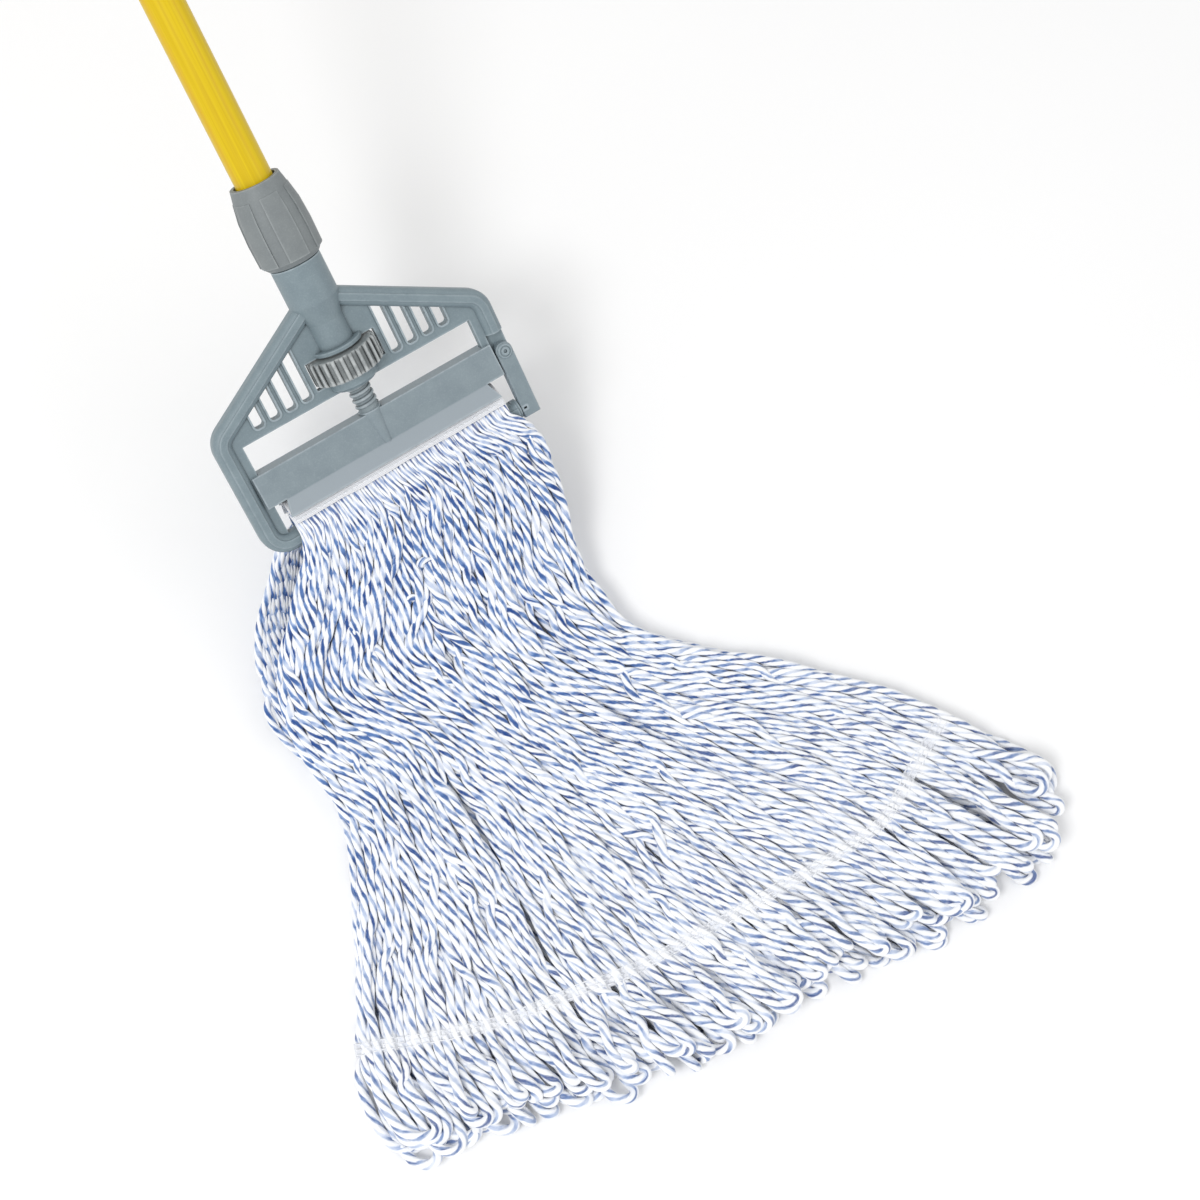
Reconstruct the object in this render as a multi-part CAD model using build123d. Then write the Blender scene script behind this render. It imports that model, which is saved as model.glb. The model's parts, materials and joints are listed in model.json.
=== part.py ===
from build123d import *
from math import cos, radians, tan
import os

# String mop in use: the yarns lie fanned on the floor and the handle leans back.
# World frame: origin on the floor below the middle of the clamp bar, +X along the bar
# towards the swinging gate, +Z up, the handle leaning towards +Y, the yarns towards -Y.
# Head frame: the same X, +Z up the handle, front face towards -Y, origin on the bar's axis.

BAR_HEIGHT = 95.0
HANDLE_RAISE = 40.0

ARM_OUTER = 105.0
RIB_WIDTH = 12.5
RIB_DEPTH = 15.0
RIB_ROUND = 5.0
BEAD_WIDTH = 5.6
BEAD_RISE = 0.9
ARM_X = ARM_OUTER - RIB_WIDTH / 2
CORNER_RADIUS = 12.0
WEB_HALF = 3.2
FLANGE_INNER = 86.5
YOKE_BOTTOM = 72.3
NECK_JOIN = 135.3
SLOPE = 29.4
BAR_END = 92.2
RIGHT_RIB_END = 57.0

SLOT_X = (34.0, 46.0, 58.0, 70.0)
SLOT_WIDTH = 7.2
SLOT_BOTTOM = 78.3
SLOT_RIM = 1.2

WINDOW_HALF = 25.8
WINDOW_LOW = 80.5
WINDOW_HIGH = 100.0
GUARD_RADIUS = 17.4
GUARD_LOW = 73.0
GUARD_HIGH = 103.0

NECK_LOWER_RADIUS = 12.5
NECK_UPPER_RADIUS = 17.3
NECK_CONE_LOW = 120.3
NECK_TOP = 162.5
SPIGOT_RADIUS = 15.8
SPIGOT_TOP = 190.0
SOCKET_BOTTOM = 141.0
SOCKET_RADIUS = 12.95
CAVITY_RADIUS = 9.0
GUARD_BORE = 8.6

PIVOT_X = 99.0
PIVOT_Z = 42.7
GATE_HALF = 6.0
GATE_FRONT = -6.6
GATE_BACK = -0.2
GATE_BOTTOM = -6.8
PEG_Y = -3.4

JAW_HALF = 91.5
JAW_TOP = 51.4
JAW_FOLD = 29.0
LIP_BOTTOM = 19.2
LIP_HALF = 81.6
JAW_SKIN = 2.4

THREAD_PITCH = 4.5
SCREW_CORE = 6.9
THREAD_BEAD = 1.25
SCREW_BOTTOM = 44.0
SCREW_TOP = 112.0
WHEEL_RADIUS = 24.8
WHEEL_RIDGES = 24

COLLAR_BOTTOM = 163.5
COLLAR_TOP = 219.0
COLLAR_PADS = 6
COLLET_BORE = 12.4
COLLET_TOP = 213.0

TUBE_RADIUS = 12.7
TUBE_WALL = 2.6
TUBE_LENGTH = 1524.0
TUBE_BOTTOM = 142.0
TUBE_TOP = TUBE_BOTTOM + TUBE_LENGTH
SEAT_TOP = 217.5
SEAT_RELIEF = 0.4
CAP_RADIUS = 12.4
HANG_HOLE = 4.0

BAND_HALF = 83.0
YARN_LAYER = 11.2
FRONT_BOTTOM = 12.6
TAIL_BAND_WIDTH = 9.0

HEAD = Pos(0, 0, BAR_HEIGHT) * Rot(X=HANDLE_RAISE - 90)


def slab(outline, low, high):
    """Face in the XZ plane between two depths, low in front and high behind."""
    return extrude(Plane.XZ.offset(-high) * outline, high - low)


def upright(radius, low, high, x=0.0, y=0.0):
    """Cylinder along the handle's direction."""
    return Pos(x, y, (low + high) / 2) * Cylinder(radius, high - low)


def cross_pin(radius, front, back, x, z):
    """Cylinder from the front to the back of the head."""
    return Pos(x, (front + back) / 2, z) * Rot(X=90) * Cylinder(radius, back - front)


def turned(*profile):
    """Solid of revolution from radius and height points."""
    return revolve(Plane.XZ * make_face(Polyline(*profile, close=True)), Axis.Z)


def rib(*points):
    """Raised rounded border that follows the frame's outline, with a bead along its front and back."""
    path = FilletPolyline(*[(x, 0, z) for x, z in points], radius=CORNER_RADIUS)
    start = Plane(origin=path @ 0, x_dir=(0, 1, 0), z_dir=path % 0)
    section = RectangleRounded(RIB_DEPTH, RIB_WIDTH, RIB_ROUND)
    section += RectangleRounded(RIB_DEPTH + 2 * BEAD_RISE, BEAD_WIDTH, BEAD_RISE - 0.1)
    return sweep(start * section, path)


def rib_height(x):
    """Height of the sloping border's middle at a distance from the handle's axis."""
    return NECK_JOIN - RIB_WIDTH / 2 / cos(radians(SLOPE)) - (x - NECK_UPPER_RADIUS) * tan(radians(SLOPE))


def slot(side, x, grow, depth):
    """One upright slot of the yoke's web, or its raised rim when grown."""
    top = rib_height(x)
    low = SLOT_BOTTOM - grow
    tall = Pos(side * x, (low + top) / 2) * RectangleRounded(SLOT_WIDTH + 2 * grow, top - low, 2.4 + grow)
    return slab(tall, -depth, depth)


def yoke_web():
    """Flat web between the sloping borders, with its slots, and the guide flanges of the arms."""
    shoulder = rib_height(ARM_X)
    peak = rib_height(8.0)
    edge = [(-ARM_X, YOKE_BOTTOM), (ARM_X, YOKE_BOTTOM), (ARM_X, shoulder), (8.0, peak), (-8.0, peak)]
    web = slab(make_face(Polyline(*edge, (-ARM_X, shoulder), close=True)), -WEB_HALF, WEB_HALF)
    for side in (-1, 1):
        for x in SLOT_X:
            web += slot(side, x, SLOT_RIM, WEB_HALF + 0.9)
    for side in (-1, 1):
        for x in SLOT_X:
            web -= slot(side, x, 0.0, WEB_HALF + 2)
    high = YOKE_BOTTOM + 6
    for side, low, outer in ((-1, 0.0, ARM_X), (1, 35.0, BAR_END), (1, RIGHT_RIB_END, ARM_X)):
        middle = Pos(side * (FLANGE_INNER + outer) / 2, (low + high) / 2)
        web += slab(middle * Rectangle(outer - FLANGE_INNER, high - low), -WEB_HALF, WEB_HALF)
    return web


def neck():
    """Hollow neck: narrow round the screw, wide round the handle's socket, with a spigot on top."""
    outside = [
        (0, WINDOW_HIGH),
        (NECK_LOWER_RADIUS, WINDOW_HIGH),
        (NECK_LOWER_RADIUS, NECK_CONE_LOW),
        (NECK_UPPER_RADIUS, NECK_JOIN),
        (NECK_UPPER_RADIUS, NECK_TOP),
        (SPIGOT_RADIUS, NECK_TOP),
        (SPIGOT_RADIUS, SPIGOT_TOP),
        (0, SPIGOT_TOP),
    ]
    return turned(*outside)


def guards():
    """Round guards above and below the thumb wheel."""
    upper = upright(GUARD_RADIUS, WINDOW_HIGH, GUARD_HIGH)
    lower = turned(
        (0, GUARD_LOW),
        (GUARD_RADIUS - 3.0, GUARD_LOW),
        (GUARD_RADIUS, GUARD_LOW + 2.5),
        (GUARD_RADIUS, WINDOW_LOW),
        (0, WINDOW_LOW),
    )
    return fillet(upper.edges().filter_by(GeomType.CIRCLE), 0.8) + lower


def gate_lug():
    """Half-thickness lug that carries the gate's pivot."""
    tall = RIGHT_RIB_END + 4 - PIVOT_Z
    wide = ARM_OUTER - BAR_END + 0.3
    back = RIB_DEPTH / 2 - 0.5
    plate = Pos(ARM_OUTER - wide / 2, PIVOT_Z + tall / 2) * Rectangle(wide, tall)
    return slab(plate, 0.2, back) + cross_pin(GATE_HALF, 0.2, back, PIVOT_X, PIVOT_Z)


def frame():
    """The one grey moulding: neck, yoke, arms and clamp bar."""
    shoulder = rib_height(ARM_X)
    inside = (5.0, rib_height(5.0))
    left = rib((BAR_END - 2, 0), (-ARM_X, 0), (-ARM_X, shoulder), (-inside[0], inside[1]))
    right = rib((ARM_X, RIGHT_RIB_END), (ARM_X, shoulder), inside)
    bar_end = Pos(BAR_END - 2, 0, 0) * Rot(Y=90) * Cylinder(RIB_WIDTH / 2 + 0.9, 4)
    peg = Pos(BAR_END + 1.6, PEG_Y, 0) * Rot(Y=90) * Cone(2.3, 1.5, 3.2)
    window = Pos(0, (WINDOW_LOW + WINDOW_HIGH) / 2) * Rectangle(2 * WINDOW_HALF, WINDOW_HIGH - WINDOW_LOW)
    body = yoke_web()
    body -= slab(window, -9, 9)
    body += left
    body += right
    body += guards()
    body += neck()
    body += bar_end
    body += peg
    body += gate_lug()
    body -= upright(GUARD_BORE, GUARD_LOW - 2, WINDOW_LOW + 1)
    body -= upright(CAVITY_RADIUS, WINDOW_HIGH - 1, SOCKET_BOTTOM + 1)
    body -= upright(SOCKET_RADIUS, SOCKET_BOTTOM, SPIGOT_TOP + 1)
    body -= cross_pin(2.6, -1, RIB_DEPTH, PIVOT_X, PIVOT_Z)
    return body


def hood_profile(skin):
    """Half cross-section of the jaw's hood, front side, shrunk inwards by the skin."""
    return [
        (0, JAW_TOP - skin),
        (-6.4 + skin, JAW_TOP - skin),
        (-9.2 + skin, JAW_FOLD),
        (-17.6 + skin, LIP_BOTTOM),
    ]


def hood(half, skin, drop):
    """Hood solid along the bar, whose lips flare out front and back and can run on below."""
    front = hood_profile(skin)
    lip_y, lip_z = front[-1]
    front[-1] = (lip_y - drop * 0.86, lip_z - drop)
    back = [(-y, z) for y, z in reversed(front[1:])]
    section = make_face(Polyline(*front, *back, close=True))
    return extrude(Plane.YZ.offset(-half) * section, 2 * half)


def lip_end(side):
    """Cut that narrows the lips at one end of the jaw."""
    outer = side * (JAW_HALF + 1)
    corners = (
        (side * LIP_HALF, LIP_BOTTOM - 1),
        (side * (LIP_HALF - 4), JAW_FOLD),
        (outer, JAW_FOLD),
        (outer, LIP_BOTTOM - 1),
    )
    return slab(make_face(Polyline(*corners, close=True)), -30, 30)


def jaw_boss():
    """Boss over the screw, running down to a rounded nose on the jaw's front."""
    tip = Pos(0, -7.4, 25.5) * Circle(2.2)
    nose = Pos(0, -6.7, 29.5) * Circle(3.6)
    mouth = Pos(0, 0, JAW_TOP + 1.2) * Circle(8.2)
    return loft([tip.face(), nose.face()]) + loft([nose.face(), mouth.face()])


def clamp_jaw():
    """Channel-shaped jaw that presses the yarns on the bar, with a boss for the screw."""
    body = hood(JAW_HALF, 0.0, 0.0) - hood(JAW_HALF + 1, JAW_SKIN, 3.0)
    for side in (-1, 1):
        body -= lip_end(side)
        guide = Pos(side * (FLANGE_INNER - 0.6 + 6), (JAW_TOP + JAW_FOLD) / 2) * Rectangle(12, 40)
        body -= slab(guide, -JAW_SKIN - 1.6, JAW_SKIN + 1.6)
    press_bar = Pos(0, (JAW_TOP - 1 + 27) / 2) * Rectangle(150, JAW_TOP - 1 - 27)
    body += slab(press_bar, -2.2, 2.2)
    body += jaw_boss()
    return body - upright(SCREW_CORE, SCREW_BOTTOM, JAW_TOP + 3)


def lead_screw():
    """Coarse round-thread screw seated in the jaw's boss."""
    core = upright(SCREW_CORE, SCREW_BOTTOM, SCREW_TOP)
    start = JAW_TOP + 2.9
    coil = Pos(0, 0, start) * Helix(THREAD_PITCH, SCREW_TOP - 3 - start, SCREW_CORE)
    bead = Plane(origin=coil @ 0, z_dir=coil % 0) * Circle(THREAD_BEAD)
    return chamfer(core.edges().group_by(Axis.Z)[-1], 1.2) + sweep(bead, coil, is_frenet=True)


def thumb_wheel():
    """Wheel with rounded finger ridges, threaded on the screw and captive in the frame's window."""
    outline = Circle(WHEEL_RADIUS - 2.1)
    for number in range(WHEEL_RIDGES):
        turn = Rot(Z=number * 360 / WHEEL_RIDGES)
        outline += turn * Pos(WHEEL_RADIUS - 1.9, 0) * Rectangle(1.2, 2.8)
        outline += turn * Pos(WHEEL_RADIUS - 1.4, 0) * Circle(1.4)
    body = extrude(Plane.XY.offset(82.0) * outline, 16.6)
    body &= turned(
        (0, 82.0),
        (WHEEL_RADIUS - 1.0, 82.0),
        (WHEEL_RADIUS, 83.0),
        (WHEEL_RADIUS, 97.6),
        (WHEEL_RADIUS - 1.0, 98.6),
        (0, 98.6),
    )
    body += upright(14.0, WINDOW_LOW + 0.2, WINDOW_HIGH - 0.2)
    return body - upright(SCREW_CORE + THREAD_BEAD + 0.07, WINDOW_LOW - 1, WINDOW_HIGH + 1)


def gate():
    """Side bar that swings out so that the yarns can slide off the clamp bar."""
    tall = PIVOT_Z - GATE_BOTTOM
    outline = Pos(PIVOT_X, GATE_BOTTOM + tall / 2) * Rectangle(2 * GATE_HALF, tall)
    outline += Pos(PIVOT_X, PIVOT_Z) * Circle(GATE_HALF)
    body = slab(outline, GATE_FRONT, GATE_BACK)
    body = fillet(body.faces().sort_by(Axis.Y)[0].edges(), 1.0)
    body -= cross_pin(2.65, GATE_FRONT - 1, GATE_BACK + 1, PIVOT_X, PIVOT_Z)
    body -= Pos(PIVOT_X - GATE_HALF + 2, PEG_Y, 0) * Rot(Y=90) * Cylinder(2.75, 5)
    return body - Pos(PIVOT_X - GATE_HALF + 2.6, GATE_FRONT, 0) * Box(2.4, 4, 1.4)


def gate_rivet():
    """Rivet with a ringed and dimpled head."""
    body = cross_pin(2.6, GATE_FRONT - 0.5, RIB_DEPTH / 2, PIVOT_X, PIVOT_Z)
    head = cross_pin(5.2, GATE_FRONT - 1.8, GATE_FRONT - 0.05, PIVOT_X, PIVOT_Z)
    body += fillet(head.edges().sort_by(Axis.Y)[0], 1.2)
    ring = cross_pin(3.9, GATE_FRONT - 2, GATE_FRONT - 1.4, PIVOT_X, PIVOT_Z)
    body -= ring - cross_pin(2.9, GATE_FRONT - 3, GATE_FRONT, PIVOT_X, PIVOT_Z)
    body -= cross_pin(1.4, GATE_FRONT - 2, GATE_FRONT - 0.9, PIVOT_X, PIVOT_Z)
    tail = cross_pin(4.4, RIB_DEPTH / 2 - 0.5, RIB_DEPTH / 2 + 0.9, PIVOT_X, PIVOT_Z)
    return body + chamfer(tail.edges().sort_by(Axis.Y)[-1], 0.6)


def collar_shell(grow):
    """Outer profile of the twist-lock collar, from its rim up."""
    return [
        (18.2, COLLAR_BOTTOM),
        (21.2 + grow, COLLAR_BOTTOM + 3.5),
        (21.5 + grow, COLLAR_BOTTOM + 20.0),
        (20.7 + grow, COLLAR_BOTTOM + 35.0),
        (18.8 + grow / 2, COLLAR_BOTTOM + 47.0),
        (16.9, COLLAR_TOP),
    ]


def collar_nut():
    """Twist-lock collar with shallow raised pads, hollow for the spigot and the split sleeve."""
    body = turned((0, COLLAR_BOTTOM), *collar_shell(0.0), (0, COLLAR_TOP))
    swell = collar_shell(0.7)[1:5]
    pad = make_face(Polyline((10, COLLAR_BOTTOM + 2), *swell, (10, COLLAR_TOP - 6), close=True))
    for number in range(COLLAR_PADS):
        body += Rot(Z=number * 360 / COLLAR_PADS + 12) * revolve(Plane.XZ * pad, Axis.Z, revolution_arc=38)
    body -= upright(SPIGOT_RADIUS + 0.2, COLLAR_BOTTOM - 1, SPIGOT_TOP + 2)
    cone = ((15.6, SPIGOT_TOP + 1), (14.4, COLLAR_TOP - 2), (14.4, COLLAR_TOP + 1))
    return body - turned((0, SPIGOT_TOP + 1), *cone, (0, COLLAR_TOP + 1))


def collet():
    """Split sleeve that the collar squeezes round the handle."""
    outer = ((15.4, SPIGOT_TOP + 1.4), (14.4, COLLET_TOP))
    body = turned((COLLET_BORE, SPIGOT_TOP + 0.4), *outer, (COLLET_BORE, COLLET_TOP))
    for turn in (0, 90):
        body -= Rot(Z=turn + 45) * Pos(0, 0, SPIGOT_TOP + 18) * Box(60, 1.6, 24)
    return body


def handle_tube():
    """Straight hollow handle, a little slimmer where it sits in the socket and the split sleeve."""
    body = upright(TUBE_RADIUS - SEAT_RELIEF, TUBE_BOTTOM, SEAT_TOP)
    body += upright(TUBE_RADIUS, SEAT_TOP, TUBE_TOP)
    return body - upright(TUBE_RADIUS - TUBE_WALL, TUBE_BOTTOM - 1, TUBE_TOP + 1)


def handle_cap():
    """Plug in the handle's end, with a flat tab and a hole to hang the mop by."""
    rim = upright(CAP_RADIUS, TUBE_TOP + 0.02, TUBE_TOP + 6)
    body = fillet(rim.edges().group_by(Axis.Z)[-1], 3.0)
    tab = Pos(0, TUBE_TOP + 12) * Rectangle(22, 16) + Pos(0, TUBE_TOP + 20) * Circle(11)
    body += extrude(Plane.YZ.offset(-5) * tab, 10)
    body += upright(TUBE_RADIUS - TUBE_WALL - 0.05, TUBE_TOP - 26, TUBE_TOP + 1)
    return body - Pos(0, 0, TUBE_TOP + 20) * Rot(Y=90) * Cylinder(HANG_HOLE, 40)


def mirrored(*points):
    """Arch from its back half: the same points in front, the last one on the middle plane."""
    return [(-y, z) for y, z in points[:-1]] + [points[-1]] + list(reversed(points[:-1]))


def saddle(half, outside, inside):
    """Solid along the bar between two arched outlines that are open below."""
    arch = Spline(*outside)
    hollow = Spline(*inside)
    face = make_face([arch, Line(arch @ 1, hollow @ 1), hollow, Line(hollow @ 0, arch @ 0)])
    return extrude(Plane.YZ.offset(-half) * face, 2 * half)


def headband():
    """Woven band folded over the bar on top of the yarns."""
    outside = mirrored((15.6, 13.4), (12.4, 18.4), (6.6, 23.2), (0, 25.6))
    inside = mirrored((14.0, 12.6), (11.0, 17.2), (5.8, 21.6), (0, 23.6))
    return saddle(BAND_HALF, outside, inside)


def headband_stitching():
    """Two sewn rows on each face of the headband."""
    rows = []
    for side in (-1, 1):
        for y, z in ((15.1, 15.55), (12.85, 18.8)):
            rows.append(Pos(0, side * y, z) * Rot(Y=90) * Cylinder(0.4, 2 * BAND_HALF - 4))
    return Compound(children=rows)


def yarn_clamped():
    """The yarns' middle, packed between the bar and the headband."""
    outside = mirrored((14.4, 3), (13.8, 8), (5.4, 20.6), (0, 23))
    inside = mirrored((8.1, 3), (8.1, 5), (4.2, 7.9), (0, 8.0))
    return saddle(BAND_HALF - 3, outside, inside)


def fan_edge(share, back):
    """Line down the fan at a share of its width, from -1 at the left edge to 1 at the right."""
    reach = 10.0 if back else 0.0
    stations = [
        (24.0 if back else -14.0, 5.0, 88.0),
        (-60.0, -24.0, 112.0 + reach),
        (-130.0, -28.0, 112.0 + reach),
        (-240.0, -14.0, 168.0 + reach),
        (-345.0, 8.0, 236.0 + reach),
        (-395.0, 18.0, 262.0),
    ]
    return [(middle + share * half, y) for y, middle, half in stations]


def fan_plan(low, high, back):
    """Outline on the floor of one hank of the fan, with its rounded free end."""
    left = fan_edge(low, back)
    right = fan_edge(high, back)
    end = [(18 + 262 * s, -448 + 40 * s * s - 12 * s) for s in (low, (low + high) / 2, high)]
    down = [Spline(*left), Line(left[-1], end[0])]
    up = [Line(end[-1], right[-1]), Spline(*reversed(right))]
    return make_face([*down, Spline(*end), *up, Line(right[0], left[0])])


def front_profile():
    """Side view of the front half, draped from the bar to the floor."""
    top = Spline((-24, 89), (-62, 61), (-120, 36), (-220, 24), tangents=((-1, -0.6), (-1, 0)))
    low = Spline((-120, FRONT_BOTTOM), (-70, 28), (-38, 54), (-17, 73), tangents=((1, 0), (1, 0.8)))
    end = [Line((-220, 24), (-470, 24)), Line((-470, 24), (-470, FRONT_BOTTOM))]
    sole = Line((-470, FRONT_BOTTOM), (-120, FRONT_BOTTOM))
    return make_face([top, *end, sole, low, Line((-17, 73), (-24, 89))])


def back_profile():
    """Side view of the back half, which falls behind the bar and lies under the front half."""
    rise = Spline((-112, YARN_LAYER), (-68, 20), (-36, 44), (-11, 62), tangents=((1, 0), (1, 0.7)))
    drop = Spline((12, 64), (22, 40), (24, 0), tangents=((0.6, -1), (0, -1)))
    sole = [Line((24, 0), (-470, 0)), Line((-470, 0), (-470, YARN_LAYER))]
    upper = Line((-470, YARN_LAYER), (-112, YARN_LAYER))
    return make_face([*sole, upper, rise, Line((-11, 62), (12, 64)), drop])


def hank(low, high, back):
    """Bundle of yarns: the fan's plan and the drape's side view together."""
    plan = extrude(fan_plan(low, high, back), 90)
    side = extrude(Plane.YZ.offset(-320) * (back_profile() if back else front_profile()), 640)
    return plan & side


def tail_line(inset):
    """Curve of the tail band across the fan."""
    return [(-228 + inset, -296), (-120, -338), (10, -362), (150, -366), (246 - inset, -330)]


def tail_band(z, thickness):
    """Flat tape sewn across the yarns near their loops."""
    curve = Spline(*tail_line(6))
    start = Plane(origin=curve @ 0, x_dir=(0, 0, 1), z_dir=curve % 0)
    return Pos(0, 0, z + thickness / 2) * sweep(start * Rectangle(thickness, TAIL_BAND_WIDTH), curve)


def tail_stitching(z):
    """Three sewn rows along the tail band."""
    rows = []
    for shift in (-3.2, 0.0, 3.2):
        curve = Spline(*[(x, y + shift) for x, y in tail_line(12)])
        start = Plane(origin=curve @ 0, z_dir=curve % 0)
        rows.append(Pos(0, 0, z) * sweep(start * Circle(0.35), curve))
    return Compound(children=rows)


HEAD_PARTS = {
    "frame": frame,
    "clamp_jaw": clamp_jaw,
    "lead_screw": lead_screw,
    "thumb_wheel": thumb_wheel,
    "gate": gate,
    "gate_rivet": gate_rivet,
    "collar_nut": collar_nut,
    "collet": collet,
    "handle_tube": handle_tube,
    "handle_cap": handle_cap,
    "headband": headband,
    "headband_stitching": headband_stitching,
    "yarn_clamped": yarn_clamped,
}

HANKS = {"left": (-1.0, -0.34), "middle": (-0.335, 0.335), "right": (0.34, 1.0)}

os.makedirs("parts", exist_ok=True)
for name, make in HEAD_PARTS.items():
    export_step(HEAD * make(), f"parts/{name}.step")
for place, (low, high) in HANKS.items():
    export_step(hank(low, high, False), f"parts/yarn_front_{place}.step")
    export_step(hank(low, high, True), f"parts/yarn_back_{place}.step")
export_step(tail_band(24.4, 1.2), "parts/tail_band_front.step")
export_step(tail_band(11.4, 1.0), "parts/tail_band_back.step")
export_step(tail_stitching(26.1), "parts/tail_stitching.step")
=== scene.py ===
import json
import math

import bpy
import numpy as np
from mathutils import Matrix, Vector


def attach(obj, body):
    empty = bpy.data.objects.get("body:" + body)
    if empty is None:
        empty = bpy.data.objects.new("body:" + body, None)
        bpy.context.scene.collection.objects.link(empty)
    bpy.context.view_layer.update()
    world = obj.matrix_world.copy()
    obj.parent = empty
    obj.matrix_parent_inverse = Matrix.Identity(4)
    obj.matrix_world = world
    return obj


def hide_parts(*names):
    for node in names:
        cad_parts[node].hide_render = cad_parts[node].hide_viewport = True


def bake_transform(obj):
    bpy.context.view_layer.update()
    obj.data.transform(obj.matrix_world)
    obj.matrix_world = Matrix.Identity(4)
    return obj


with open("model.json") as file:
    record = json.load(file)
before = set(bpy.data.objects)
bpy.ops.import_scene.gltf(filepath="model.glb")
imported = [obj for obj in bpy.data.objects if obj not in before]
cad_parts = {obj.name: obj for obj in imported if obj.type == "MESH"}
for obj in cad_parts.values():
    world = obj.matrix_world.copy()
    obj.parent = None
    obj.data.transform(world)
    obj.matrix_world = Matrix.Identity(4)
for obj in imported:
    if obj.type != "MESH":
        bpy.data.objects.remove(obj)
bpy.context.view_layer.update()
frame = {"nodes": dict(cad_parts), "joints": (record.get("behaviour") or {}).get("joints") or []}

# Lengths are millimetres until a mesh is made, and metres in the materials and the studio.
# World: origin on the floor below the clamp bar, +X to the gate, +Z up, yarns towards -Y.
# Head: same X, front face towards -Y, +Z up the handle, origin on the clamp bar's axis.
MM = 0.001
JOINTS = {joint["name"]: joint for joint in frame["joints"]}
BAR_HEIGHT = JOINTS["handle_tilt"]["pos_m"][2] / MM
UP_HANDLE = JOINTS["jaw_slide"]["axis"]
RAISE = math.atan2(UP_HANDLE[2], UP_HANDLE[1])  # of the handle above the floor

# the yarn
YARN_RADIUS = 3.05
YARN_RADIUS_HEAD = 1.8  # squeezed under the headband
YARN_RADIUS_SADDLE = 1.72
TWIST_PITCH = -38.0  # length of one turn, left-handed
PLIES = 3
RING_POINTS = 18  # round the yarn, the same number on each ply

# the drape: shares run from 0 at the headband to 1 at the loops, and from -1 to 1 across
STATIONS = 170
BAND_SHARE = 0.815  # where the tail band crosses
TAIL_START = 0.78  # where the strands begin to pair up into loops
CURL_START = 0.86  # where the loops begin to wind over themselves
LEVEL_STEP = 4.8  # between the layers of loops

# share across, x and y of the tail band's middle line
BAND_LINE = ((0.0, -229, -296), (0.25, -122, -338), (0.5, 8, -359), (0.75, 146, -364), (1.0, 250, -322))
TAPE_WIDTH = 9.0
TAPE_THICK = 0.4
TAPE_SINK = 3.4  # below the tops of the yarns, so that only traces of it show
STITCH_RADIUS = 0.42

# edge lines of each half: share, left x, left y, right x, right y, base height
FRONT_ROWS = (
    (0.00, -81, -2, 83, -2, 104.5),
    (0.03, -86, -10, 91, -9, 97.5),
    (0.06, -93, -16, 97, -15, 87.0),
    (0.11, -107, -28, 98, -30, 69.0),
    (0.17, -126, -43, 95, -54, 48.0),
    (0.25, -145, -69, 88, -85, 29.0),
    (0.33, -153, -102, 86, -116, 17.0),
    (0.41, -152, -137, 87, -146, 13.0),
    (0.50, -154, -176, 104, -176, 12.4),
    (0.62, -176, -222, 150, -218, 11.8),
    (0.76, -208, -272, 206, -276, 11.0),
    (0.88, -232, -318, 252, -326, 10.0),
    (1.00, -240, -364, 288, -364, 9.0),
)
BACK_ROWS = (
    (0.00, -80, 16, 80, 16, 91.0),
    (0.02, -81, 13.5, 81, 13.5, 86.0),
    (0.05, -88, 14, 82, 15, 77.0),
    (0.09, -99, 14, 84, 20, 61.0),
    (0.13, -113, 7, 86, 24, 43.0),
    (0.17, -133, -9, 88, 23, 25.0),
    (0.22, -151, -36, 90, 8, 9.0),
    (0.28, -160, -68, 92, -22, 1.5),
    (0.35, -158, -96, 91, -58, 0.3),
    (0.43, -149, -128, 88, -100, 0.3),
    (0.51, -154, -166, 92, -146, 0.3),
    (0.62, -178, -216, 140, -204, 0.3),
    (0.76, -212, -270, 198, -268, 0.3),
    (0.88, -236, -316, 250, -322, 0.3),
    (1.00, -245, -366, 292, -368, 0.3),
)
# share, how far the middle of the station's line bows out towards the tail
FRONT_BULGE = ((0.0, 0), (0.2, 4), (0.45, 18), (0.7, 40), (0.85, 52), (1.0, 62))
BACK_BULGE = ((0.0, 0), (0.15, 0), (0.45, 14), (0.7, 38), (0.85, 52), (1.0, 64))
# share across, outline of the loops' ends as a share of the bulge
TAIL_SHAPE = (
    (-1.00, 0.0), (-0.83, 0.24), (-0.68, 0.42), (-0.50, 0.66), (-0.30, 0.89), (0.0, 1.02),
    (0.30, 1.18), (0.55, 1.26), (0.72, 1.25), (0.84, 1.14), (0.93, 0.92), (1.00, 0.55),
)
# lift of the strands at the left rim: shares, heights
NO_LIFT = ((0, 1), (0, 0))
BACK_RIM_LIFT = ((0.0, 0.06, 0.13, 0.20, 0.28, 0.36, 0.45), (0, 8, 20, 24, 16, 6, 0))
# highest place of a strand's centre above the drape: shares, heights
ROOM = ((0, 0.05, 0.12, 0.3, 1), (5.2, 7.5, 13.0, 22.0, 22.0))

# two points inside the headband before a strand comes out below it, from its first point
FRONT_ENTRY = ((0.0, 12.7, 4.2), (0.0, 5.2, 3.1))
BACK_ENTRY = ((0.0, 2.0, 8.0), (0.0, 2.6, 4.4))

# stray curls on the front half: share down the yarns, share across, half width with its hand's sign, pitch
CURLS = ((0.150, -0.03, 6.8, 3.8), (0.190, -0.17, -5.2, 3.4))
CURL_RADIUS = 2.6
CURL_SINK, CURL_RISE, CURL_CROSS = -6.5, 9.0, 2.0

# first number of the yarns of each kind; a yarn's number picks its tint
SADDLE_NUMBER, CURL_NUMBER = 400, 600


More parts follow.
